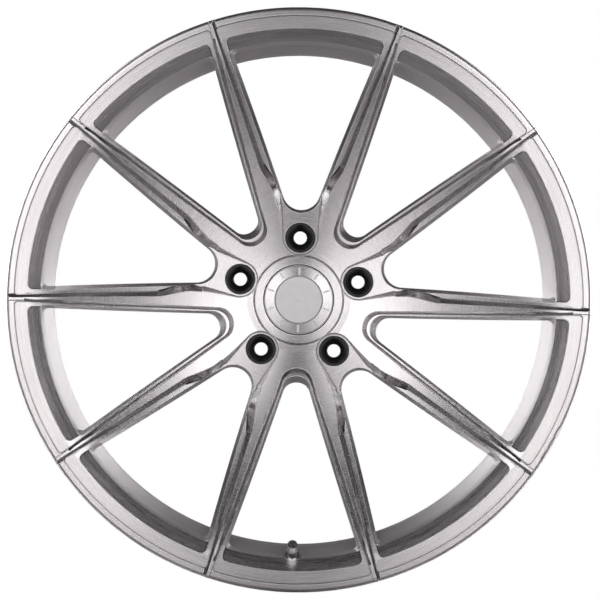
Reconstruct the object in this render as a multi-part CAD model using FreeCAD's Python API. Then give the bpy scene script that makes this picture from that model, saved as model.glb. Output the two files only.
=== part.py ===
import FreeCAD, Part
import math
import os

os.makedirs("parts", exist_ok=True)

V = FreeCAD.Vector

# Wheel: 20 x 9 J, five bolts. The wheel axis is Y, the street side looks
# toward -Y, bolt hole 1 is straight up (+Z) and the valve straight down.
# The origin is on the axis at mid width. Depths are measured from the
# outermost point of the face (y = FACE_Y) toward the car.

# rim
RIM_WIDTH = 254.0
FACE_Y = -RIM_WIDTH / 2
FLANGE_R = 273.7
FLANGE_T = 12.7
SEAT_R = 256.4
WELL_R = 240.3
WALL_T = 4.5
RIDGE_R = 268.0
RIDGE_ANGLES = (18.6, 19.5)
RING_DROP = 1.0
LIP = 4.2

# hub
BOLT_COUNT = 5
BOLT_CIRCLE_R = 60.0
BOLT_HOLE_R = 7.2
CENTRE_BORE_R = 36.3
CENTRE_BORE_DEPTH = 96.0
CENTRE_CHAMFER = 1.5
HUB_DEPTH = 112.0
PAD_R = 76.0
HUB_FACE_R = 50.0
HUB_FACE_DEPTH = 77.0
DISH_R = 42.6
DISH_EDGE = 1.8
DISH_DEPTH = 79.5
CAP_SEAT_R = 34.3
CAP_SEAT_DEPTH = 83.0
CAP_BORE_R = 30.0
CLIP_GROOVE = (31.4, 91.0, 94.0)

# land: top of the spokes, a convex arc at the rim and a concave arc inward
LAND_ARC_R = 90.0
LAND_SLOPE = 31.0
LAND_MID = (140.3, 53.4)

# ledge beside the land, and the flat band inside the ring
BAND_OUTER_R = 266.0
BAND_INNER_R = 254.1
BAND_DEPTH = 3.3
BAND_INNER_DEPTH = 3.9
BAND_CORNER_R = 3.7
LEDGE_BEND = ((238.5, 9.2), (222.0, 17.4))
LEDGE_MID = (140.3, 58.4)
LEDGE_HUB_DEPTH = 82.2

# back of the spokes
BACK_RIM_DEPTH = 42.0
BACK_MID = (160.0, 80.0)
BACK_HUB = (86.0, 103.0)

# windows: (half angle, side offset at depth 0, offset per depth,
#           tip radius at depth 100, tip shift per depth)
WIDE = (18.37, 3.3, 0.118, 86.9, 0.194)
NARROW = (16.80, 4.93, 0.086, 79.2, 0.263)
WINDOW_R = 242.5
WINDOW_CORNER_R = 5.3
WINDOW_CYLINDER_DEPTH = 48.0
SIDE_DRAFT_START = -3.0
SIDE_DRAFT_END = 116.0

# side of the ledge and of the land on a spoke, seen from the wide window:
# (angle from the window axis, distance of the line from the wheel centre)
LEDGE_ANGLE = 20.93
LEDGE_OFFSET = 11.2
LAND_ANGLE = 19.86
LAND_OFFSET = 4.3
FLANK_STATIONS = (
    (278.0, 1.4), (262.0, 1.6), (240.0, 2.4), (215.0, 2.9), (185.0, 2.9), (158.0, 2.9), (134.9, 2.9),
)
HUB_FLANK = (
    ((41.8, 128.2), (37.6, 129.8), 2.9),
    ((34.5, 115.0), (28.8, 117.4), 5.5),
    ((27.1, 101.8), (20.8, 104.6), 13.0),
    ((25.0, 95.5), (19.0, 97.5), 21.5),
    ((23.4, 90.0), (18.4, 91.6), 19.6),
)
LEDGE_KINK = ((38.4, 132.1), (28.2, 114.9))
POCKET_FLOOR = 85.0
# (depth, outer corner of the wall, radius round the bolt, lean of its foot)
POCKET_LEVELS = (
    (60.0, (25.8, 95.2), 18.9, 11.3),
    (POCKET_FLOOR, (18.8, 97.6), 16.85, 2.0),
)

# bank between the land and the ledge round a narrow window: half angle and
# side offset of its top and its foot, with the radius of their round tips
BANK_TOP = (19.4, 11.25, 15.8)
BANK_FOOT = (19.25, 13.35, 14.47)
BANK_STATIONS = (256.0, 235.0, 205.0, 175.0, 140.0, 110.0)
BANK_STEP = 0.3

# bolt seats
SEAT_INSERT_R = 14.7
SEAT_INSERT_DEPTH = 97.0
INSERT_HOLE_R = 6.3
INSERT_RIM_R = 12.6

# centre cap
CAP_R = 33.8
CAP_BACK_DEPTH = 80.6
SKIRT_R = 29.95
BEZEL_R = 33.3
BEZEL_IN_R = 22.9
EMBLEM_R = 22.4
NOTCH_COUNT = 10
NOTCH_WIDE = (2.3, 23.9, 31.5)
NOTCH_NARROW = (1.3, 25.0, 31.1)
O_RING_DEPTH = 86.0
CLIP_DEPTH = 92.3

# valve: seat centre by radius and depth, lean of the stem toward the face
VALVE_SEAT = (245.5, 34.5)
VALVE_LEAN = 60.0
VALVE_HOLE_R = 5.75
VALVE_FACE_R = 9.5
VALVE_GRIP = 10.5
VALVE_FLANGE_R = 7.0
STEM_R = 4.75
STEM_NECK_R = 3.85
STEM_TOP = 30.5
CORE_BORE_R = 2.65
SPRING_FOOT = 15.2
SPRING_PITCH = 1.24
SPRING_TURNS = 8
SPRING_WIRE_R = 0.16
SPRING_R = 0.95

CLEAR = 20.0
SEAM_ANGLE = 14.0
SIDE_REACH = 262.0
TOOL_DEPTH = 70.0
POCKET_MOUTH = (12.0, 112.0)


def at(depth):
    """Y position of a depth below the outermost point of the face."""
    return FACE_Y + depth


def place(shape, angle):
    """Turns a shape about the wheel axis, clockwise seen from the street."""
    copy = shape.copy()
    copy.rotate(V(0, 0, 0), V(0, 1, 0), angle)
    return copy


def profile(start, moves):
    """Closed wire in the radius/depth plane.

    A move is (radius, depth) for a line, or two such pairs for an arc
    through the first to the second.
    """
    def point(pair):
        return V(pair[0], at(pair[1]), 0)

    edges = []
    here = start
    for move in moves + [start]:
        if isinstance(move[0], tuple):
            edges.append(Part.Arc(point(here), point(move[0]), point(move[1])).toShape())
            here = move[1]
        elif move != here:
            edges.append(Part.makeLine(point(here), point(move)))
            here = move
    return Part.Wire(edges)


def turned(start, moves):
    """Solid of revolution of a radius/depth outline about the wheel axis.

    Its seam lies in a narrow window and not along a spoke.
    """
    face = Part.Face(profile(start, moves))
    face.rotate(V(0, 0, 0), V(0, 1, 0), SEAM_ANGLE)
    return face.revolve(V(0, 0, 0), V(0, 1, 0), 360)


def land_bend():
    """Convex arc of the land: its middle and its inner end."""
    pairs = []
    for slope in (LAND_SLOPE / 2, LAND_SLOPE):
        a = math.radians(slope)
        pairs.append((RIDGE_R - LAND_ARC_R * math.sin(a), LAND_ARC_R * (1 - math.cos(a))))
    return tuple(pairs)


def flange(front):
    """Tyre side of one rim edge, from its face to the well side of the hump."""
    def d(depth):
        return depth if front else RIM_WIDTH - depth

    return [
        ((FLANGE_R - 0.3 * LIP, d(0.3 * LIP)), (FLANGE_R, d(LIP))),
        (FLANGE_R, d(8.2)),
        ((FLANGE_R - 1.3, d(11.4)), (FLANGE_R - 4.5, d(FLANGE_T))),
        (SEAT_R + 6.5, d(FLANGE_T)),
        ((SEAT_R + 1.55, d(14.7)), (SEAT_R - 0.5, d(18.6))),
        (SEAT_R - 1.85, d(33.5)),
        ((SEAT_R - 0.9, d(35.8)), (SEAT_R - 2.4, d(38.4))),
    ]


def blank():
    """Turned forging: rim, disc and hub with no windows."""
    bend_mid, bend_end = land_bend()
    rear = flange(False)
    rear_path = []
    points = [(FLANGE_R - LIP, RIM_WIDTH)]
    for move in rear:
        points.append(move[1] if isinstance(move[0], tuple) else move)
    for index in range(len(rear) - 1, -1, -1):
        move = rear[index]
        target = points[index]
        rear_path.append((move[0], target) if isinstance(move[0], tuple) else target)
    return turned(
        (HUB_FACE_R, HUB_FACE_DEPTH),
        [(LAND_MID, bend_end), (bend_mid, (RIDGE_R, 0.0)), (FLANGE_R - LIP, 0.0)]
        + flange(True)
        + [
            (WELL_R + 0.8, 63.2),
            ((WELL_R + 0.1, 65.0), (WELL_R, 66.0)),
            (WELL_R, 88.0),
            (WELL_R + 4.7, 134.0),
            (WELL_R + 11.4, 205.0),
            points[-1],
        ]
        + rear_path
        + [
            (258.0, RIM_WIDTH),
            ((255.0, RIM_WIDTH - 0.8), (252.6, RIM_WIDTH - 3.0)),
            (250.4, 232.0),
            (250.4, 221.0),
            (247.4, 205.0),
            (240.5, 134.0),
            (WELL_R - WALL_T, 86.0),
            (WELL_R - WALL_T, 64.5),
            (WINDOW_R, WINDOW_CYLINDER_DEPTH),
            (WINDOW_R, BACK_RIM_DEPTH),
            (BACK_MID, BACK_HUB),
            ((79.5, 106.5), (PAD_R, HUB_DEPTH)),
            (CENTRE_BORE_R + CENTRE_CHAMFER, HUB_DEPTH),
            (CENTRE_BORE_R, HUB_DEPTH - CENTRE_CHAMFER),
            (CENTRE_BORE_R, CENTRE_BORE_DEPTH),
            (CAP_BORE_R, CENTRE_BORE_DEPTH),
            (CAP_BORE_R, CLIP_GROOVE[2]),
            (CLIP_GROOVE[0], CLIP_GROOVE[2]),
            (CLIP_GROOVE[0], CLIP_GROOVE[1]),
            (CAP_BORE_R, CLIP_GROOVE[1]),
            (CAP_BORE_R, CAP_SEAT_DEPTH),
            (CAP_SEAT_R, CAP_SEAT_DEPTH),
            (CAP_SEAT_R, DISH_DEPTH),
            (DISH_R, DISH_DEPTH),
            ((DISH_R + 0.3, HUB_FACE_DEPTH + 0.9), (DISH_R + DISH_EDGE, HUB_FACE_DEPTH)),
        ],
    )


def side_foot(half_angle, offset, radius):
    """Tangent point of a tip arc on the right side line of a window."""
    b = math.radians(half_angle)
    centre = (offset + radius) / math.sin(b)
    return centre, (radius * math.cos(b), centre - radius * math.sin(b))


def side_point(half_angle, offset, along):
    """Point of a right side line, by its distance along the line."""
    b = math.radians(half_angle)
    x = -offset * math.cos(b) + along * math.sin(b)
    z = offset * math.sin(b) + along * math.cos(b)
    return x, z


def window_trace(size, depth):
    """Window outline at one depth: two sides, a round tip, a wide outer end."""
    half_angle, offset, per_depth, tip, tip_per_depth = size
    offset += per_depth * depth
    tip += tip_per_depth * (depth - 100.0)
    b = math.radians(half_angle)
    apex = offset / math.sin(b)
    radius = (tip - apex) / (1 / math.sin(b) - 1)
    centre, foot = side_foot(half_angle, offset, radius)
    end = side_point(half_angle, offset, SIDE_REACH)
    y = at(depth)
    right = Part.makeLine(V(foot[0], y, foot[1]), V(end[0], y, end[1]))
    top = Part.makeLine(V(end[0], y, end[1]), V(-end[0], y, end[1]))
    left = Part.makeLine(V(-end[0], y, end[1]), V(-foot[0], y, foot[1]))
    arc = Part.Arc(V(-foot[0], y, foot[1]), V(0, y, centre - radius), V(foot[0], y, foot[1]))
    return Part.Wire([right, top, left, arc.toShape()])


def window(size):
    """Cutter for one window, with the draft of its walls."""
    wires = [window_trace(size, SIDE_DRAFT_START), window_trace(size, SIDE_DRAFT_END)]
    wedge = Part.makeLoft(wires, True, True)
    inside = turned(
        (0.0, SIDE_DRAFT_START + 1),
        [
            (WINDOW_R, SIDE_DRAFT_START + 1),
            (WINDOW_R, WINDOW_CYLINDER_DEPTH - 1),
            (WELL_R - WALL_T - 1.5, 60.0),
            (WELL_R - WALL_T - 1.5, SIDE_DRAFT_END - 1),
            (0.0, SIDE_DRAFT_END - 1),
        ],
    )
    cutter = wedge.common(inside)
    corners = []
    for edge in cutter.Edges:
        ends = [v.Point for v in edge.Vertexes]
        if len(ends) < 2:
            continue
        on_wall = all(abs(math.hypot(p.x, p.z) - WINDOW_R) < 0.01 for p in ends)
        if on_wall and abs(ends[0].y - ends[1].y) > 5:
            corners.append(edge)
    return cutter.makeFillet(WINDOW_CORNER_R, corners)


def sector(half_angle, offset, outer_r, corner_r):
    """Rounded outer corner between a right side line and an outer arc.

    Returns the end of the side line, the middle of the corner and the start
    of the outer arc.
    """
    b = math.radians(half_angle)
    u = offset + corner_r
    along = math.sqrt((outer_r - corner_r) ** 2 - u ** 2)
    line_end = side_point(half_angle, offset, along)
    centre = side_point(half_angle, u, along)
    scale = outer_r / (outer_r - corner_r)
    arc_start = (centre[0] * scale, centre[1] * scale)
    mid_x = (line_end[0] - centre[0]) + (arc_start[0] - centre[0])
    mid_z = (line_end[1] - centre[1]) + (arc_start[1] - centre[1])
    reach = corner_r / math.hypot(mid_x, mid_z)
    mid = (centre[0] + mid_x * reach, centre[1] + mid_z * reach)
    return line_end, mid, arc_start


def rounded_path(points):
    """Open path through (x, z, radius) points; its inner corners are rounded."""
    edges = []
    here = points[0][:2]
    for index in range(1, len(points) - 1):
        x, z, radius = points[index]
        to_prev = unit(points[index - 1][0] - x, points[index - 1][1] - z)
        to_next = unit(points[index + 1][0] - x, points[index + 1][1] - z)
        half = math.acos(to_prev[0] * to_next[0] + to_prev[1] * to_next[1]) / 2
        cut = radius / math.tan(half)
        first = (x + to_prev[0] * cut, z + to_prev[1] * cut)
        last = (x + to_next[0] * cut, z + to_next[1] * cut)
        bisector = unit(to_prev[0] + to_next[0], to_prev[1] + to_next[1])
        reach = radius / math.sin(half) - radius
        mid = (x + bisector[0] * reach, z + bisector[1] * reach)
        edges.append((here, None, first))
        edges.append((first, mid, last))
        here = last
    edges.append((here, None, points[-1][:2]))
    return edges


def unit(x, z):
    length = math.hypot(x, z)
    return x / length, z / length


def mirror_closed(edges, depth, bottom):
    """Wire at a depth from right side edges and their mirror images.

    The path runs from the outer arc on the axis down to the foot; bottom is
    the middle of a closing arc, or None for a straight close.
    """
    y = at(depth)

    def point(pair, sign):
        return V(sign * pair[0], y, pair[1])

    pieces = []
    for start, mid, end in edges:
        pieces.append(segment(point(start, 1), mid and point(mid, 1), point(end, 1)))
    last = edges[-1][2]
    if bottom:
        pieces.append(segment(point(last, 1), V(0, y, bottom), point(last, -1)))
    elif last[0] > 0:
        pieces.append(Part.makeLine(point(last, 1), point(last, -1)))
    for start, mid, end in reversed(edges):
        pieces.append(segment(point(end, -1), mid and point(mid, -1), point(start, -1)))
    return Part.Wire(pieces)


def segment(start, mid, end):
    if mid is None:
        return Part.makeLine(start, end)
    return Part.Arc(start, mid, end).toShape()


def prism(wire):
    """Straight solid from an outline at the street side clearance plane."""
    return Part.Face(wire).extrude(V(0, HUB_DEPTH + CLEAR, 0))


def ledge_space():
    """Everything in front of the ledge and the band."""
    return turned(
        (0.0, -CLEAR / 2),
        [
            (300.0, -CLEAR / 2),
            (300.0, BAND_DEPTH),
            (BAND_OUTER_R, BAND_DEPTH),
            (BAND_INNER_R, BAND_INNER_DEPTH),
            LEDGE_BEND,
            (LEDGE_MID, (HUB_FACE_R, LEDGE_HUB_DEPTH)),
            (0.0, LEDGE_HUB_DEPTH),
        ],
    )


def wide_ledge_outline():
    """Ledge outline round a wide window; it ends inside the window."""
    line_end, mid, arc_start = sector(LEDGE_ANGLE, LEDGE_OFFSET, BAND_OUTER_R, BAND_CORNER_R)
    outer, inner = LEDGE_KINK
    side = rounded_path([(*line_end, 0), (*outer, 8.0), (*inner, 2.0), (*POCKET_MOUTH, 0)])
    edges = [((0.0, BAND_OUTER_R), arc_middle(arc_start), arc_start), (arc_start, mid, line_end)]
    return mirror_closed(edges + side, -CLEAR / 2, None)


def narrow_ledge_outline():
    """Ledge outline round a narrow window, with its round tip."""
    half_angle, offset, tip_r = BANK_FOOT
    line_end, mid, arc_start = sector(half_angle, offset, BAND_OUTER_R, BAND_CORNER_R)
    centre, foot = side_foot(half_angle, offset, tip_r)
    edges = [
        ((0.0, BAND_OUTER_R), arc_middle(arc_start), arc_start),
        (arc_start, mid, line_end),
        (line_end, None, foot),
    ]
    return mirror_closed(edges, -CLEAR / 2, centre - tip_r)


def arc_middle(end):
    """Middle of the outer arc from the window axis to a point on it."""
    radius = math.hypot(end[0], end[1])
    a = math.atan2(end[0], end[1]) / 2
    return radius * math.sin(a), radius * math.cos(a)


def circle_through(a, b, c):
    """Centre and radius of the circle through three radius/depth pairs."""
    ab = (b[0] - a[0], b[1] - a[1])
    ac = (c[0] - a[0], c[1] - a[1])
    cross = 2 * (ab[0] * ac[1] - ab[1] * ac[0])
    ab2 = ab[0] ** 2 + ab[1] ** 2
    ac2 = ac[0] ** 2 + ac[1] ** 2
    x = (ac[1] * ab2 - ab[1] * ac2) / cross
    y = (ab[0] * ac2 - ac[0] * ab2) / cross
    return (a[0] + x, a[1] + y), math.hypot(x, y)


def land_depth(radius):
    """Depth of the land at a radius."""
    bend_end = land_bend()[1]
    if radius >= RIDGE_R:
        return 0.0
    if radius >= bend_end[0]:
        return LAND_ARC_R - math.sqrt(LAND_ARC_R**2 - (RIDGE_R - radius) ** 2)
    centre, size = circle_through(bend_end, LAND_MID, (HUB_FACE_R, HUB_FACE_DEPTH))
    return centre[1] + math.sqrt(size**2 - (radius - centre[0]) ** 2)


def ledge_depth(radius):
    """Depth of the ledge inside its bend."""
    centre, size = circle_through(LEDGE_BEND[1], LEDGE_MID, (HUB_FACE_R, LEDGE_HUB_DEPTH))
    return centre[1] + math.sqrt(size**2 - (radius - centre[0]) ** 2)


def flank_section(top, foot, drop, beyond=1.5):
    """Section of the flank cutter: top is on the land, foot is drop deeper."""
    depth = land_depth(math.hypot(top[0], top[1]))
    width = math.hypot(foot[0] - top[0], foot[1] - top[1])
    ux = (foot[0] - top[0]) / width
    uz = (foot[1] - top[1]) / width
    before = 0.6 * width

    def point(distance, d):
        return V(top[0] + ux * distance, at(d), top[1] + uz * distance)

    start = point(-before, depth - drop * before / width)
    end = point(width + beyond, depth + drop * (width + beyond) / width)
    end_up = point(width + beyond, depth - drop - 2.5)
    start_up = point(-before, depth - drop - 2.5)
    return Part.makePolygon([start, end, end_up, start_up, start])


def flanks():
    """Cutters of the sloping flank on the wide window side of a spoke."""
    b = math.radians(LEDGE_ANGLE)
    outer = []
    for along, drop in FLANK_STATIONS:
        top = side_point(LAND_ANGLE, LAND_OFFSET, along)
        gap = top[0] * math.cos(b) - top[1] * math.sin(b) + LEDGE_OFFSET
        foot = (top[0] - gap * math.cos(b), top[1] + gap * math.sin(b))
        outer.append(flank_section(top, foot, drop))
    inner = [flank_section(top, foot, drop) for top, foot, drop in HUB_FLANK]
    above = Part.makeBox(300.0, POCKET_FLOOR + CLEAR, 300.0, V(-150.0, at(-CLEAR), 0.0))
    return [Part.makeLoft(outer, True, False), Part.makeLoft(inner, True, False).common(above)]


def bank_side():
    """Cutter of the sloping bank along one side of a narrow window."""
    half_angle, offset, tip_r = BANK_TOP
    b = math.radians(BANK_FOOT[0])
    tangent = side_foot(half_angle, offset, tip_r)[1]
    tops = [side_point(half_angle, offset, along) for along in BANK_STATIONS] + [tangent]
    sections = []
    for top in tops:
        gap = top[0] * math.cos(b) - top[1] * math.sin(b) + BANK_FOOT[1]
        foot = (top[0] - gap * math.cos(b), top[1] + gap * math.sin(b))
        radius = math.hypot(top[0], top[1])
        drop = 2.0 if radius > LEDGE_BEND[1][0] else ledge_depth(radius) - land_depth(radius) - BANK_STEP
        sections.append(flank_section(top, foot, drop, 0.05))
    return Part.makeLoft(sections, True, False)


def bank_tip():
    """Cutter of the bank round the tip of a narrow window."""
    near = BANK_TOP[2] + BANK_FOOT[2]
    top_z = side_foot(*BANK_TOP)[0]
    foot_z = side_foot(*BANK_FOOT)[0]
    slope = (ledge_depth(top_z - near / 2) - ledge_depth(top_z)) / (near / 2)
    tilt = math.atan(slope)
    drop = ledge_depth(top_z) - land_depth(top_z) - BANK_STEP
    wires = []
    for part in (0.0, 1.6):
        z = foot_z + (top_z - foot_z) * part
        r = BANK_FOOT[2] + (BANK_TOP[2] - BANK_FOOT[2]) * part
        depth = ledge_depth(top_z) - BANK_STEP - drop * part + (top_z - z) * slope
        centre = V(0, at(depth), z)
        long_way = V(0, -math.sin(tilt), math.cos(tilt)) * (r / math.cos(tilt))
        wires.append(Part.Wire(Part.Ellipse(centre + long_way, centre + V(r, 0, 0), centre).toShape()))
    return Part.makeLoft(wires, True, True)


def ring_space():
    """Everything in front of the ring between two ridges."""
    return turned(
        (250.0, -CLEAR / 2),
        [
            (290.0, -CLEAR / 2),
            (290.0, RING_DROP + LIP),
            (FLANGE_R, RING_DROP + LIP),
            ((FLANGE_R - 0.29 * LIP, RING_DROP + 0.29 * LIP), (FLANGE_R - LIP, RING_DROP)),
            (250.0, RING_DROP),
        ],
    )


def wedge(half_angle):
    """Open sector about the window axis."""
    b = math.radians(half_angle)
    reach = 320.0
    y = at(-CLEAR / 2)
    x = reach * math.sin(b)
    z = reach * math.cos(b)
    wire = Part.makePolygon([V(0, y, 0), V(x, y, z), V(-x, y, z), V(0, y, 0)])
    return Part.Face(wire).extrude(V(0, CLEAR, 0))


def relief_space():
    """Coned relief inside the band."""
    return turned(
        (238.0, -3.2),
        [(260.5, -3.2), (248.6, 10.0), (WINDOW_R, 15.5), (238.0, 15.5)],
    )


def relief_outline(size):
    """Outline of the coned relief, just inside the window walls."""
    half_angle, offset = size[0], size[1] + 2.2
    line_end, mid, arc_start = sector(half_angle, offset, BAND_INNER_R, WINDOW_CORNER_R)
    foot = side_point(half_angle, offset, 225.0)
    edges = [
        ((0.0, BAND_INNER_R), arc_middle(arc_start), arc_start),
        (arc_start, mid, line_end),
        (line_end, None, foot),
    ]
    return mirror_closed(edges, -CLEAR / 2, None)


def pocket():
    """Pocket round one bolt, with its sloping walls; it opens into the window."""
    wires = []
    for depth, upper, radius, lean in POCKET_LEVELS:
        a = math.radians(lean)
        foot = (radius * math.cos(a), BOLT_CIRCLE_R - radius * math.sin(a))
        edges = [((0.0, POCKET_MOUTH[1]), None, POCKET_MOUTH)]
        edges += rounded_path([(*POCKET_MOUTH, 0), (*upper, 3.0), (*foot, 0)])
        wires.append(mirror_closed(edges, depth, BOLT_CIRCLE_R - radius))
    return Part.makeLoft(wires, True, True)


def valve_place(shape):
    """Moves a shape from the valve's own frame to the wheel.

    The frame has its origin at the valve seat and +Z toward the valve cap.
    """
    moved = shape.copy()
    moved.rotate(V(0, 0, 0), V(1, 0, 0), VALVE_LEAN)
    moved.translate(V(0, at(VALVE_SEAT[1]), -VALVE_SEAT[0]))
    return moved


def rod(radius, low, high):
    """Cylinder on +Z."""
    return Part.makeCylinder(radius, high - low, V(0, 0, low))


def tube(outer, inner, low, high):
    return rod(outer, low, high).cut(rod(inner, low, high))


def lathe(points):
    """Solid of revolution about Z from (radius, z) points."""
    wire = Part.makePolygon([V(r, 0, z) for r, z in points + [points[0]]])
    return Part.Face(wire).revolve(V(0, 0, 0), V(0, 0, 1), 360)


def bolt_tool():
    """Seat bore of one insert and the bolt hole behind it."""
    axis = V(0, 1, 0)
    start = V(0, at(TOOL_DEPTH), BOLT_CIRCLE_R)
    seat = Part.makeCylinder(SEAT_INSERT_R, SEAT_INSERT_DEPTH - TOOL_DEPTH, start, axis)
    hole = Part.makeCylinder(BOLT_HOLE_R, HUB_DEPTH + CLEAR - TOOL_DEPTH, start, axis)
    return seat.fuse(hole)


def valve_tool():
    """Valve hole with its flat faces on both sides of the rim wall."""
    face = rod(VALVE_FACE_R, 0.0, 45.0)
    hole = rod(VALVE_HOLE_R, -VALVE_GRIP - 25.0, 1.0)
    outer_face = rod(VALVE_FLANGE_R + 0.4, -VALVE_GRIP - 12.0, -VALVE_GRIP)
    return valve_place(face.fuse([hole, outer_face]))


def valve_boss():
    """Pad that gives the stem's flange a flat seat on the tyre side."""
    wall = turned((WINDOW_R + 1.0, 30.0), [(268.0, 30.0), (268.0, 60.0), (WINDOW_R + 1.0, 60.0)])
    return valve_place(rod(VALVE_FLANGE_R + 1.4, -VALVE_GRIP, -3.0)).common(wall)


def all_round(shapes):
    """Copies of (shape, first angle) at every bolt."""
    step = 360.0 / BOLT_COUNT
    return [place(s, a + step * i) for i in range(BOLT_COUNT) for s, a in shapes]


def forged_wheel():
    space = ledge_space()
    ring = ring_space()
    relief = relief_space()
    half = 180.0 / BOLT_COUNT
    right = flanks()
    left = [f.mirror(V(0, 0, 0), V(1, 0, 0)) for f in right]
    bank = bank_side()
    banks = [bank, bank.mirror(V(0, 0, 0), V(1, 0, 0)), bank_tip()]
    wheel = blank().fuse(valve_boss())
    steps = [
        [(wedge(RIDGE_ANGLES[0]).common(ring), 0), (wedge(half - RIDGE_ANGLES[1]).common(ring), half)],
        [
            (prism(wide_ledge_outline()).common(space), 0),
            (prism(narrow_ledge_outline()).common(space), half),
        ],
        [(f, 0) for f in right + left],
        [(b, half) for b in banks],
        [
            (prism(relief_outline(WIDE)).common(relief), 0),
            (prism(relief_outline(NARROW)).common(relief), half),
        ],
        [(pocket(), 0)],
        [(window(WIDE), 0), (window(NARROW), half)],
        [(bolt_tool(), 0)],
    ]
    for shapes in steps:
        wheel = wheel.cut(all_round(shapes))
    return wheel.cut(valve_tool())


def lug_seat_insert(index):
    """Steel seat ring: flat rim, coned seat, straight bolt hole."""
    ring = lathe(
        [
            (INSERT_HOLE_R, 0.0),
            (SEAT_INSERT_R, 0.0),
            (SEAT_INSERT_R, 11.4),
            (SEAT_INSERT_R - 0.6, 12.0),
            (INSERT_RIM_R, 12.0),
            (INSERT_RIM_R - 0.8, 11.0),
            (INSERT_HOLE_R + 0.6, 4.6),
            (INSERT_HOLE_R, 3.6),
        ]
    )
    ring.rotate(V(0, 0, 0), V(1, 0, 0), 90)
    ring.translate(V(0, at(SEAT_INSERT_DEPTH), BOLT_CIRCLE_R))
    return place(ring, 360.0 / BOLT_COUNT * index)


def centre_cap_body():
    """Plastic cap: plate on the hub shelf and a skirt down the cap bore."""
    return turned(
        (0.0, CAP_BACK_DEPTH),
        [
            (CAP_R - 0.4, CAP_BACK_DEPTH),
            (CAP_R, CAP_BACK_DEPTH + 0.4),
            (CAP_R, CAP_SEAT_DEPTH),
            (SKIRT_R, CAP_SEAT_DEPTH),
            (SKIRT_R, 85.0),
            (SKIRT_R - 1.4, 85.0),
            (SKIRT_R - 1.4, 87.0),
            (SKIRT_R, 87.0),
            (SKIRT_R, 91.3),
            (SKIRT_R - 1.5, 91.3),
            (SKIRT_R - 1.5, 93.3),
            (SKIRT_R, 93.3),
            (SKIRT_R - 0.8, 95.5),
            (SKIRT_R - 3.2, 95.5),
            (SKIRT_R - 3.2, CAP_SEAT_DEPTH + 0.4),
            (0.0, CAP_SEAT_DEPTH + 0.4),
        ],
    )


def cap_bezel_ring():
    """Metal ring of the cap with ten index notches."""
    ring = turned(
        (BEZEL_IN_R, CAP_BACK_DEPTH),
        [
            (BEZEL_IN_R, 78.6),
            (BEZEL_IN_R + 0.5, 78.1),
            (BEZEL_R - 0.9, 78.9),
            (BEZEL_R, 79.7),
            (BEZEL_R, CAP_BACK_DEPTH),
        ],
    )
    notches = []
    for index in range(NOTCH_COUNT):
        opposite = index % (NOTCH_COUNT // 2) == 0
        width, inner, outer = NOTCH_WIDE if opposite else NOTCH_NARROW
        box = Part.makeBox(width, 3.0, outer - inner, V(-width / 2, at(77.0), inner))
        notches.append(place(box.common(notch_space()), 360.0 / NOTCH_COUNT * index))
    return ring.cut(notches)


def notch_space():
    """Everything in front of the notch floors."""
    return turned((20.0, 70.0), [(34.0, 70.0), (34.0, 79.9), (20.0, 79.1)])


def cap_emblem_disc():
    """Plain disc in the middle of the cap."""
    return turned(
        (0.0, CAP_BACK_DEPTH),
        [(0.0, 78.7), (EMBLEM_R - 0.5, 79.2), (EMBLEM_R, 79.6), (EMBLEM_R, CAP_BACK_DEPTH)],
    )


def torus(ring_r, wire_r, depth):
    """Round ring about the wheel axis."""
    return Part.makeTorus(ring_r, wire_r, V(0, at(depth), 0), V(0, 1, 0))


def cap_retaining_ring():
    """Split spring wire ring that snaps into the groove of the cap bore."""
    gap = Part.makeBox(4.0, 6.0, 10.0, V(-2.0, at(CLIP_DEPTH) - 3.0, SKIRT_R - 5.0))
    return torus(SKIRT_R + 0.15, 0.78, CLIP_DEPTH).cut(gap)


def cap_o_ring():
    """Rubber ring in the front groove of the cap's skirt."""
    return torus(SKIRT_R - 0.70, 0.69, O_RING_DEPTH)


def valve_stem():
    body = lathe(
        [
            (0.0, -VALVE_GRIP - 4.5),
            (VALVE_FLANGE_R - 0.5, -VALVE_GRIP - 4.5),
            (VALVE_FLANGE_R, -VALVE_GRIP - 4.0),
            (VALVE_FLANGE_R, -VALVE_GRIP - 2.5),
            (STEM_R, -VALVE_GRIP - 2.5),
            (STEM_R, 12.0),
            (STEM_R - 0.6, 13.0),
            (STEM_NECK_R, 18.0),
            (STEM_NECK_R, STEM_TOP - 0.4),
            (STEM_NECK_R - 0.4, STEM_TOP),
            (0.0, STEM_TOP),
        ]
    )
    return body.cut([rod(1.6, -40.0, 40.0), rod(CORE_BORE_R, 7.5, 40.0)])


def valve_grommet():
    """Rubber seal under the stem flange, with a sleeve into the hole."""
    return lathe(
        [
            (STEM_R + 0.05, -VALVE_GRIP - 2.45),
            (VALVE_FLANGE_R - 0.2, -VALVE_GRIP - 2.45),
            (VALVE_FLANGE_R - 0.2, -VALVE_GRIP - 0.05),
            (VALVE_HOLE_R - 0.05, -VALVE_GRIP - 0.05),
            (VALVE_HOLE_R - 0.05, -2.0),
            (STEM_R + 0.05, -2.0),
        ]
    )


def valve_washer():
    return tube(8.6, STEM_R + 0.15, 0.0, 1.2)


def valve_nut():
    """Hexagon nut with a chamfered top."""
    corner = 14.0 / math.sqrt(3)
    points = [
        V(corner * math.cos(math.radians(60 * k)), corner * math.sin(math.radians(60 * k)), 1.2)
        for k in range(7)
    ]
    body = Part.Face(Part.makePolygon(points)).extrude(V(0, 0, 6.3))
    chamfer = lathe([(0.0, 0.0), (9.0, 0.0), (9.0, 6.2), (7.0, 7.6), (0.0, 7.6)])
    return body.common(chamfer).cut(rod(STEM_R + 0.05, 0.0, 9.0))


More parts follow.
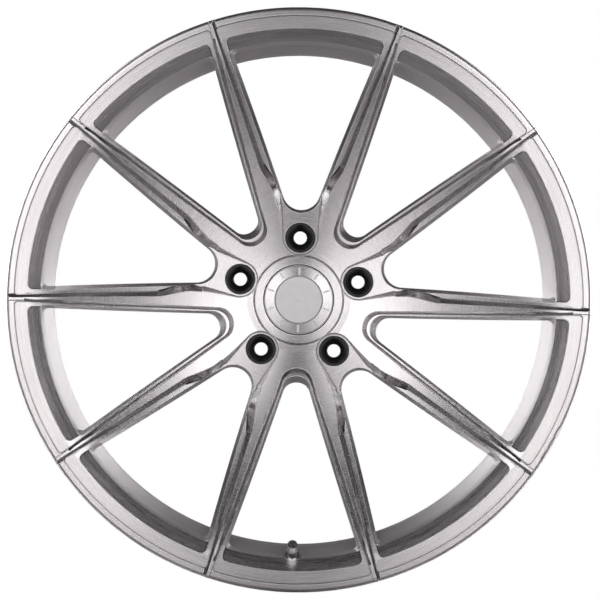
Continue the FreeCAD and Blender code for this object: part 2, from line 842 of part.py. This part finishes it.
def valve_core_body():
    return lathe(
        [
            (0.56, 13.0),
            (2.3, 13.0),
            (CORE_BORE_R - 0.05, 13.6),
            (CORE_BORE_R - 0.05, 27.0),
            (1.45, 27.0),
            (1.45, 15.0),
            (0.56, 15.0),
        ]
    )


def valve_core_pin():
    return lathe(
        [
            (0.0, 9.2),
            (2.0, 9.2),
            (2.0, 11.2),
            (0.5, 11.2),
            (0.5, 25.5),
            (1.2, 25.5),
            (1.2, 26.3),
            (0.5, 26.3),
            (0.5, 28.8),
            (0.3, 29.0),
            (0.0, 29.0),
        ]
    )


def valve_core_seal():
    return tube(2.0, 0.5, 11.2, 12.98)


def valve_core_spring():
    """Coil between the core's floor and the collar of the pin."""
    path = Part.makeHelix(SPRING_PITCH, SPRING_TURNS * SPRING_PITCH, SPRING_R)
    path.translate(V(0, 0, SPRING_FOOT + SPRING_WIRE_R))
    start = path.Edges[0].valueAt(path.Edges[0].FirstParameter)
    tangent = path.Edges[0].tangentAt(path.Edges[0].FirstParameter)
    section = Part.Wire(Part.makeCircle(SPRING_WIRE_R, start, tangent))
    return Part.Wire(path.Edges).makePipeShell([section], True, True)


def valve_cap():
    """Cap with a knurled skirt; its inside clears the stem's neck."""
    outside = lathe([(0.0, 22.5), (4.7, 22.5), (5.0, 22.8), (5.0, 32.2), (4.2, 33.0), (0.0, 33.0)])
    inside = [rod(STEM_NECK_R + 0.05, 20.0, STEM_TOP + 1.3)]
    grooves = []
    for k in range(12):
        a = math.radians(30 * k)
        grooves.append(Part.makeCylinder(0.45, 7.4, V(5.15 * math.cos(a), 5.15 * math.sin(a), 24.0)))
    return outside.cut(inside + grooves)


def valve_cap_seal():
    return tube(STEM_NECK_R, 1.6, STEM_TOP + 0.02, STEM_TOP + 1.28)


nodes = {
    "forged_wheel": forged_wheel(),
    "centre_cap_body": centre_cap_body(),
    "cap_bezel_ring": cap_bezel_ring(),
    "cap_emblem_disc": cap_emblem_disc(),
    "cap_o_ring": cap_o_ring(),
    "cap_retaining_ring": cap_retaining_ring(),
    "valve_stem": valve_place(valve_stem()),
    "valve_grommet": valve_place(valve_grommet()),
    "valve_washer": valve_place(valve_washer()),
    "valve_nut": valve_place(valve_nut()),
    "valve_core_body": valve_place(valve_core_body()),
    "valve_core_pin": valve_place(valve_core_pin()),
    "valve_core_seal": valve_place(valve_core_seal()),
    "valve_core_spring": valve_place(valve_core_spring()),
    "valve_cap": valve_place(valve_cap()),
    "valve_cap_seal": valve_place(valve_cap_seal()),
}
for index in range(BOLT_COUNT):
    nodes[f"lug_seat_insert_{index + 1}"] = lug_seat_insert(index)
for name, shape in nodes.items():
    print(name, shape.isValid(), len(shape.Solids), round(shape.Volume, 1))
    shape.exportStep(f"parts/{name}.step")
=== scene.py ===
import bpy
import math
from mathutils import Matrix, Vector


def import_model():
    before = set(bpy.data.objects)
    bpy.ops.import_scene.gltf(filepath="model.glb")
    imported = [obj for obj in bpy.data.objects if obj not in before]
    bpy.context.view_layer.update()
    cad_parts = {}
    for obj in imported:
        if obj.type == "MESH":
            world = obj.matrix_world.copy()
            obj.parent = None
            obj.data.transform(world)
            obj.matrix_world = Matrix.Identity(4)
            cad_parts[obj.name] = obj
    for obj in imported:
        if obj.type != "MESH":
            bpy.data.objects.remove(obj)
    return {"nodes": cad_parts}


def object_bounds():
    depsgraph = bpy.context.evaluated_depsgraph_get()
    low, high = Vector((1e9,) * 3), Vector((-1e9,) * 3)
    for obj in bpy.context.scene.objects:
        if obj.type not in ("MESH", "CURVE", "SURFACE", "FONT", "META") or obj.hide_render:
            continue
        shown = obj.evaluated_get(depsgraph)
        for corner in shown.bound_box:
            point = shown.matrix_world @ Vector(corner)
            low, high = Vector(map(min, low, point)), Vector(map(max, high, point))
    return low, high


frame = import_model()
nodes = frame["nodes"]
cad_box = [list(v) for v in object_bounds()]

# The wheel axis is Y and the street side looks toward -Y. Lengths are in metres.
CAMERA_DISTANCE = 2.4
FACE_Y = cad_box[0][1]
FLOOR_Z = cad_box[0][2]
FRAME_WIDTH = 0.5599
TURN_DEG = 1.45
SENSOR_MM = 36.0
# how far the wheel's centre lies off the middle of the frame, in frame widths
FRAME_SHIFT = (0.0021667, -0.0002833)

# The barrel has a rougher finish: everything outside this radius and further
# back than this depth behind the face.
BARREL_R = 0.2305
BARREL_DEPTH = 0.018
# brush lines on a sloping face follow radius + slope * depth
BRUSH_SLOPE = 0.83
# cone through the front of the cap ring: depth on the axis and its rise
CAP_CONE_DEPTH = 0.0763
CAP_CONE_SLOPE = 0.09

# Painted shade: near-black colour laid into hollows and inner corners, where shade falls.
PAINTED_SHADE_COLOUR = (0.05, 0.045, 0.05, 1)
# Painted highlight: near-white colour laid along outward edges, where small rounded edges would
# catch the light.
PAINTED_EDGE_HIGHLIGHT = (1.0, 0.995, 0.99, 1)
# Painted highlight: grey colour laid along the outward edges of the glossy black seat inserts.
PAINTED_GREY_EDGE_HIGHLIGHT = (0.16, 0.16, 0.165, 1)
WHITE = (1, 1, 1, 1)


# ---------------------------------------------------------------- node helpers

class Mat:
    """A material built node by node."""

    def __init__(self, name):
        self.mat = bpy.data.materials.new(name)
        self.mat.use_nodes = True
        self.tree = self.mat.node_tree
        self.bsdf = self.tree.nodes["Principled BSDF"]

    def add(self, kind, **values):
        node = self.tree.nodes.new(kind)
        for key, value in values.items():
            setattr(node, key, value)
        return node

    def link(self, source, target):
        self.tree.links.new(source, target)

    def feed(self, socket, value):
        if hasattr(value, "is_linked"):
            self.link(value, socket)
        else:
            socket.default_value = value

    def math(self, operation, a, b=0.0, c=0.0):
        node = self.add("ShaderNodeMath", operation=operation)
        for socket, value in zip(node.inputs, (a, b, c)):
            self.feed(socket, value)
        return node.outputs[0]

    def vector(self, operation, a, b=(0, 0, 0)):
        node = self.add("ShaderNodeVectorMath", operation=operation)
        self.feed(node.inputs[0], a)
        self.feed(node.inputs[1], b)
        return node.outputs["Value"] if operation == "LENGTH" else node.outputs[0]

    def position(self):
        return self.add("ShaderNodeTexCoord").outputs["Object"]

    def noise(self, vector, scale, detail=3.0, rough=0.55, w=None):
        node = self.add("ShaderNodeTexNoise")
        if w is not None:
            node.noise_dimensions = "4D"
            self.feed(node.inputs["W"], w)
        self.link(vector, node.inputs["Vector"])
        node.inputs["Scale"].default_value = scale
        node.inputs["Detail"].default_value = detail
        node.inputs["Roughness"].default_value = rough
        return node.outputs["Fac"]

    def spread(self, value, low, high, to_low, to_high):
        node = self.add("ShaderNodeMapRange", clamp=True)
        for index, number in enumerate((low, high, to_low, to_high)):
            node.inputs[index + 1].default_value = number
        self.link(value, node.inputs[0])
        return node.outputs[0]

    def mix(self, kind, factor, first, second):
        node = self.add("ShaderNodeMix", data_type=kind)
        sockets = [s for s in node.inputs if s.enabled]
        for socket, value in zip(sockets, (factor, first, second)):
            self.feed(socket, value)
        return next(s for s in node.outputs if s.enabled)

    def blend(self, factor, first, second):
        return self.mix("RGBA", factor, first, second)

    def set(self, **values):
        for key, value in values.items():
            self.feed(self.bsdf.inputs[key.replace("_", " ")], value)

    def bevel(self, radius):
        node = self.add("ShaderNodeBevel", samples=6)
        node.inputs["Radius"].default_value = radius
        return node.outputs[0]

    def normal(self, height, strength, distance, edge=0.0):
        """Bump from a height, on top of softly rounded edges."""
        bump = self.add("ShaderNodeBump")
        bump.inputs["Strength"].default_value = strength
        bump.inputs["Distance"].default_value = distance
        self.link(height, bump.inputs["Height"])
        if edge:
            self.link(self.bevel(edge), bump.inputs["Normal"])
        self.link(bump.outputs[0], self.bsdf.inputs["Normal"])


def brushing(m):
    """Metal brushed round the wheel axis.

    Gives the position, the highlight direction, the streaks and the barrel's
    mask. Faces square to that direction, the side walls of the windows, are brushed
    along the spoke instead.
    """
    place = m.position()
    split = m.add("ShaderNodeSeparateXYZ")
    m.link(place, split.inputs[0])
    flat = m.add("ShaderNodeCombineXYZ")
    m.link(split.outputs[0], flat.inputs[0])
    m.link(split.outputs[2], flat.inputs[2])
    radius = m.vector("LENGTH", flat.outputs[0])
    outward = m.vector("NORMALIZE", flat.outputs[0])
    circle = m.vector("CROSS_PRODUCT", (0, 1, 0), outward)
    normal = m.add("ShaderNodeNewGeometry").outputs["Normal"]
    turn = m.add("ShaderNodeVectorMath", operation="DOT_PRODUCT")
    m.link(normal, turn.inputs[0])
    m.link(circle, turn.inputs[1])
    wall = m.math("GREATER_THAN", m.math("ABSOLUTE", turn.outputs["Value"]), 0.8)
    lines = m.mix("VECTOR", wall, circle, outward)
    across = m.vector("CROSS_PRODUCT", normal, lines)
    sloping = m.math("MULTIPLY_ADD", split.outputs[1], BRUSH_SLOPE, radius)
    line = m.mix("FLOAT", wall, sloping, split.outputs[1])
    fine = m.noise(outward, 9.0, 2.0, 0.6, m.math("MULTIPLY", line, 1500.0))
    broad = m.noise(outward, 4.0, 2.0, 0.5, m.math("MULTIPLY", line, 420.0))
    streak = m.math("MULTIPLY_ADD", broad, 0.45, m.math("MULTIPLY", fine, 0.55))
    outside = m.math("GREATER_THAN", radius, BARREL_R)
    behind = m.math("GREATER_THAN", split.outputs[1], FACE_Y + BARREL_DEPTH)
    barrel = m.math("MULTIPLY", outside, behind)
    return place, m.vector("NORMALIZE", across), streak, barrel


def occlusion(m, distance, inside):
    """How open the surface is, or how thick the solid behind it if inside."""
    node = m.add("ShaderNodeAmbientOcclusion", samples=6, inside=inside)
    node.inputs["Distance"].default_value = distance
    return node.outputs["AO"]


def border(m, width):
    """Thin line along every edge, and how far that edge stands outward."""
    flat = m.add("ShaderNodeNewGeometry").outputs["Normal"]
    dot = m.add("ShaderNodeVectorMath", operation="DOT_PRODUCT")
    m.link(flat, dot.inputs[0])
    m.link(m.bevel(width), dot.inputs[1])
    line = m.spread(dot.outputs["Value"], 0.97, 0.998, 1.0, 0.0)
    lean = m.math("SUBTRACT", occlusion(m, 0.002, False), occlusion(m, 0.002, True))
    return line, m.spread(lean, -0.12, 0.12, 0.0, 1.0)


def brushed(name, colour, dark, rough, aniso, lines=1.0, edge=0.0, painted_edge_light_and_shade=0.0, notch_highlights=False):
    """Metal brushed in circles, with a painted highlight along its edges and painted shade in its
    corners.
    """
    m = Mat(name)
    place, across, streak, barrel = brushing(m)
    cloud = m.noise(place, 14.0, 3.0, 0.5)
    tone = m.math("MULTIPLY_ADD", cloud, 0.30, m.math("MULTIPLY", streak, 0.70))
    base = m.blend(m.spread(tone, 0.34, 0.66, 0.0, 1.0), dark, colour)
    polish = m.spread(streak, 0.3, 0.7, rough - 0.05 * lines, rough + 0.07 * lines)
    polish = m.math("MULTIPLY_ADD", barrel, 0.20, polish)
    # Painted light along the edges: highlight on outward edges, shade in inner corners and
    # hollows; the outward edges also get rougher.
    if painted_edge_light_and_shade:
        line, outer = border(m, 0.0015)
        rim = m.math("MULTIPLY", line, outer)
        corner = m.math("SUBTRACT", line, rim)
        # Painted shade: hollows (ambient occlusion) and inner corners are blended toward the
        # near-black shade colour.
        hollow_shade = m.spread(occlusion(m, 0.003, False), 0.30, 0.90, 0.40 * painted_edge_light_and_shade, 0.0)
        painted_shade_mask = m.math("MAXIMUM", hollow_shade, m.math("MULTIPLY", corner, 0.80 * painted_edge_light_and_shade))
        base = m.blend(painted_shade_mask, base, PAINTED_SHADE_COLOUR)
        # Painted highlight: outward edges are blended toward near white.
        base = m.blend(m.math("MULTIPLY", rim, painted_edge_light_and_shade), base, PAINTED_EDGE_HIGHLIGHT)
        polish = m.math("MULTIPLY_ADD", rim, 0.25 * painted_edge_light_and_shade, polish)
    metal = 1.0
    # Painted highlight: the notch floors are turned plain white.
    if notch_highlights:
        base, below = paint_notch_highlight(m, base)
        metal = m.math("SUBTRACT", 1.0, below)
    m.set(Base_Color=base, Metallic=metal, Roughness=polish, Anisotropic=aniso, Tangent=across)
    m.normal(streak, 0.10 * lines, 0.00010, edge)
    return m.mat


def paint_notch_highlight(m, base):
    """Painted highlight in the notches, which lie below the coned front of the cap ring: their
    floors are made plain white and not metallic, standing in for light caught there.
    """
    split = m.add("ShaderNodeSeparateXYZ")
    m.link(m.position(), split.inputs[0])
    across, depth, height = split.outputs
    square = m.math("MULTIPLY_ADD", across, across, m.math("MULTIPLY", height, height))
    radius = m.math("SQRT", square)
    front = m.math("MULTIPLY_ADD", radius, CAP_CONE_SLOPE, FACE_Y + CAP_CONE_DEPTH)
    below = m.math("GREATER_THAN", depth, front)
    return m.blend(below, base, WHITE), below


def grainy(
    name, colour, second, metallic, rough, scale,
    strength=0.15, coat=0.0, edge=0.0, edge_highlight_width=0.0,
):
    """Satin, moulded or painted surface with fine grain and slight patches."""
    m = Mat(name)
    place = m.position()
    grain = m.noise(place, scale, 4.0, 0.6)
    patch = m.noise(place, scale / 14.0, 2.0, 0.5)
    base = m.blend(m.spread(patch, 0.35, 0.65, 0.0, 1.0), colour, second)
    # Painted highlight: a grey line along the outward edges stands in for light caught on them.
    if edge_highlight_width:
        line, outer = border(m, edge_highlight_width)
        base = m.blend(m.math("MULTIPLY", line, outer), base, PAINTED_GREY_EDGE_HIGHLIGHT)
    m.set(
        Base_Color=base,
        Metallic=metallic,
        Roughness=m.spread(grain, 0.3, 0.7, rough * 0.85, rough * 1.2),
        Coat_Weight=coat,
        Coat_Roughness=0.06,
    )
    m.normal(grain, strength, 0.00008, edge)
    return m.mat


# ------------------------------------------------------------------- materials

# The forged wheel gets the painted edge highlights and the painted corner shade.
FORGED = brushed("forged_brushed", (0.68, 0.66, 0.67, 1), (0.55, 0.525, 0.55, 1), 0.26, 0.85,
                 edge=0.0010, painted_edge_light_and_shade=1.0)
# The cap ring gets the painted highlight in its notches.
RING = brushed("cap_ring_brushed", (0.60, 0.59, 0.60, 1), (0.50, 0.49, 0.505, 1), 0.26, 0.80,
               edge=0.0002, notch_highlights=True)
DISC = grainy("cap_disc_satin", (0.92, 0.91, 0.92, 1), (0.88, 0.87, 0.88, 1), 0.1, 0.5, 1800.0)
# The seat inserts get the painted grey edge highlight.
SEAT_BLACK = grainy("seat_gloss_black", (0.010, 0.010, 0.011, 1), (0.016, 0.016, 0.017, 1), 0.0,
                    0.16, 1400.0, 0.08, coat=1.0, edge=0.0005, edge_highlight_width=0.0006)
PLASTIC = grainy("cap_plastic_black", (0.035, 0.035, 0.036, 1), (0.045, 0.045, 0.046, 1), 0.0,
                 0.45, 1600.0, 0.2)
RUBBER = grainy("seal_rubber", (0.022, 0.022, 0.022, 1), (0.035, 0.034, 0.033, 1), 0.0,
                0.7, 1500.0, 0.3)
CHROME = grainy("valve_chrome", (0.92, 0.92, 0.92, 1), (0.86, 0.86, 0.87, 1), 1.0,
                0.24, 900.0, 0.04, edge=0.0002)
STEEL = grainy("spring_steel", (0.62, 0.62, 0.63, 1), (0.52, 0.52, 0.54, 1), 1.0,
               0.28, 1200.0, 0.1)
BRASS = grainy("core_brass", (0.72, 0.54, 0.25, 1), (0.62, 0.45, 0.20, 1), 1.0, 0.28, 1200.0, 0.1)

FINISH = {
    "forged_wheel": FORGED,
    "centre_cap_body": PLASTIC,
    "cap_bezel_ring": RING,
    "cap_emblem_disc": DISC,
    "cap_o_ring": RUBBER,
    "cap_retaining_ring": STEEL,
    "valve_stem": CHROME,
    "valve_grommet": RUBBER,
    "valve_washer": CHROME,
    "valve_nut": CHROME,
    "valve_core_body": BRASS,
    "valve_core_pin": BRASS,
    "valve_core_seal": RUBBER,
    "valve_core_spring": STEEL,
    "valve_cap": CHROME,
    "valve_cap_seal": RUBBER,
}

for name, obj in nodes.items():
    finish = SEAT_BLACK if name.startswith("lug_seat_insert") else FINISH[name]
    obj.data.materials.clear()
    obj.data.materials.append(finish)


# ----------------------------------------------------------- floor, light, world

def floor():
    """Plain pale floor just under the wheel, white where the camera sees it."""
    mesh = bpy.data.meshes.new("floor")
    reach = 6.0
    low = FLOOR_Z - 0.0005
    corners = [(x * reach, y * reach, low) for x, y in ((-1, -1), (1, -1), (1, 1), (-1, 1))]
    mesh.from_pydata(corners, [], [(0, 1, 2, 3)])
    obj = bpy.data.objects.new("floor", mesh)
    bpy.context.scene.collection.objects.link(obj)
    m = Mat("floor_pale")
    m.set(Base_Color=(0.80, 0.78, 0.80, 1), Metallic=0.6, Roughness=0.3)
    glow = m.add("ShaderNodeEmission")
    glow.inputs["Color"].default_value = WHITE
    mix = m.add("ShaderNodeMixShader")
    m.link(m.add("ShaderNodeLightPath").outputs["Is Camera Ray"], mix.inputs[0])
    m.link(m.bsdf.outputs[0], mix.inputs[1])
    m.link(glow.outputs[0], mix.inputs[2])
    m.link(mix.outputs[0], m.tree.nodes["Material Output"].inputs["Surface"])
    mesh.materials.append(m.mat)


# Soft panels of light round the wheel, by compass angle from the camera's side
# (positive to the right) and by height: (angle, half width, fade, height,
# half height, fade, strength, colour). Angles are in degrees.
PANELS = (
    (21, 3, 11, 0.0, 0.24, 0.30, 3.0, (1.0, 0.985, 0.965)),
    (-21, 3, 11, 0.0, 0.24, 0.30, 3.0, (1.0, 0.985, 0.965)),
    (10, 3, 7, 0.04, 0.13, 0.14, 1.5, (1.0, 0.985, 0.965)),
    (-10, 3, 7, 0.04, 0.13, 0.14, 1.5, (1.0, 0.985, 0.965)),
    (14, 3, 10, 0.33, 0.06, 0.20, 1.6, (1.0, 0.985, 0.965)),
    (-14, 3, 10, 0.33, 0.06, 0.20, 1.6, (1.0, 0.985, 0.965)),
    (54, 5, 14, 0.0, 0.15, 0.35, 0.30, (1.0, 0.98, 0.98)),
    (-54, 5, 14, 0.0, 0.15, 0.35, 0.30, (1.0, 0.98, 0.98)),
    (121, 8, 12, 0.18, 0.36, 0.34, 5.5, (1.0, 1.0, 0.98)),
    (-121, 8, 12, 0.18, 0.36, 0.34, 6.0, (1.0, 1.0, 0.98)),
)
AMBIENT = ((0.95, 0.89, 0.98), 0.03)


class World:
    """Node helper for the world shader."""

    def __init__(self):
        self.world = bpy.data.worlds.new("studio")
        bpy.context.scene.world = self.world
        self.world.use_nodes = True
        self.tree = self.world.node_tree

    def math(self, operation, *values):
        node = self.tree.nodes.new("ShaderNodeMath")
        node.operation = operation
        for socket, value in zip(node.inputs, values):
            if hasattr(value, "is_linked"):
                self.tree.links.new(value, socket)
            else:
                socket.default_value = value
        return node.outputs[0]

    def fade(self, value, inner, outer):
        node = self.tree.nodes.new("ShaderNodeMapRange")
        node.interpolation_type = "SMOOTHSTEP"
        for index, number in enumerate((inner, outer, 1.0, 0.0)):
            node.inputs[index + 1].default_value = number
        self.tree.links.new(value, node.inputs[0])
        return node.outputs[0]


def world():
    """Panels of light by direction; the camera itself sees plain white."""
    w = World()
    tree = w.tree
    split = tree.nodes.new("ShaderNodeSeparateXYZ")
    tree.links.new(tree.nodes.new("ShaderNodeTexCoord").outputs["Generated"], split.inputs[0])
    across, ahead, height = split.outputs
    compass = w.math("ARCTAN2", across, w.math("MULTIPLY", ahead, -1.0))
    shader = tree.nodes["Background"]
    shader.inputs["Color"].default_value = (*AMBIENT[0], 1)
    shader.inputs["Strength"].default_value = AMBIENT[1]
    total = shader.outputs[0]
    for angle, half, soft, level, half_height, soft_height, strength, colour in PANELS:
        centre, half, soft = (math.radians(v) for v in (angle, half, soft))
        sideways = w.math("ABSOLUTE", w.math("SUBTRACT", compass, centre))
        upward = w.math("ABSOLUTE", w.math("SUBTRACT", height, level))
        shape = w.math(
            "MULTIPLY",
            w.fade(sideways, half, half + soft),
            w.fade(upward, half_height, half_height + soft_height),
        )
        panel = tree.nodes.new("ShaderNodeBackground")
        panel.inputs["Color"].default_value = (*colour, 1)
        tree.links.new(w.math("MULTIPLY", shape, strength), panel.inputs["Strength"])
        both = tree.nodes.new("ShaderNodeAddShader")
        tree.links.new(total, both.inputs[0])
        tree.links.new(panel.outputs[0], both.inputs[1])
        total = both.outputs[0]
    seen = tree.nodes.new("ShaderNodeBackground")
    seen.inputs["Color"].default_value = WHITE
    mix = tree.nodes.new("ShaderNodeMixShader")
    tree.links.new(tree.nodes.new("ShaderNodeLightPath").outputs["Is Camera Ray"], mix.inputs[0])
    tree.links.new(total, mix.inputs[1])
    tree.links.new(seen.outputs[0], mix.inputs[2])
    tree.links.new(mix.outputs[0], tree.nodes["World Output"].inputs["Surface"])


floor()
world()


# ---------------------------------------------------------------------- camera

def camera():
    """Camera square to the street side, turned a little about its own axis."""
    data = bpy.data.cameras.new("camera")
    data.sensor_width = SENSOR_MM
    data.lens = SENSOR_MM * CAMERA_DISTANCE / FRAME_WIDTH
    data.clip_start, data.clip_end = 0.05, 60.0
    data.shift_x, data.shift_y = FRAME_SHIFT
    obj = bpy.data.objects.new("camera", data)
    bpy.context.scene.collection.objects.link(obj)
    obj.location = (0, FACE_Y - CAMERA_DISTANCE, 0)
    obj.rotation_mode = "XYZ"
    obj.rotation_euler = (math.radians(90), math.radians(-TURN_DEG), 0)
    bpy.context.scene.camera = obj


camera()
bpy.context.scene.view_settings.view_transform = "Standard"
bpy.context.scene.view_settings.look = "None"
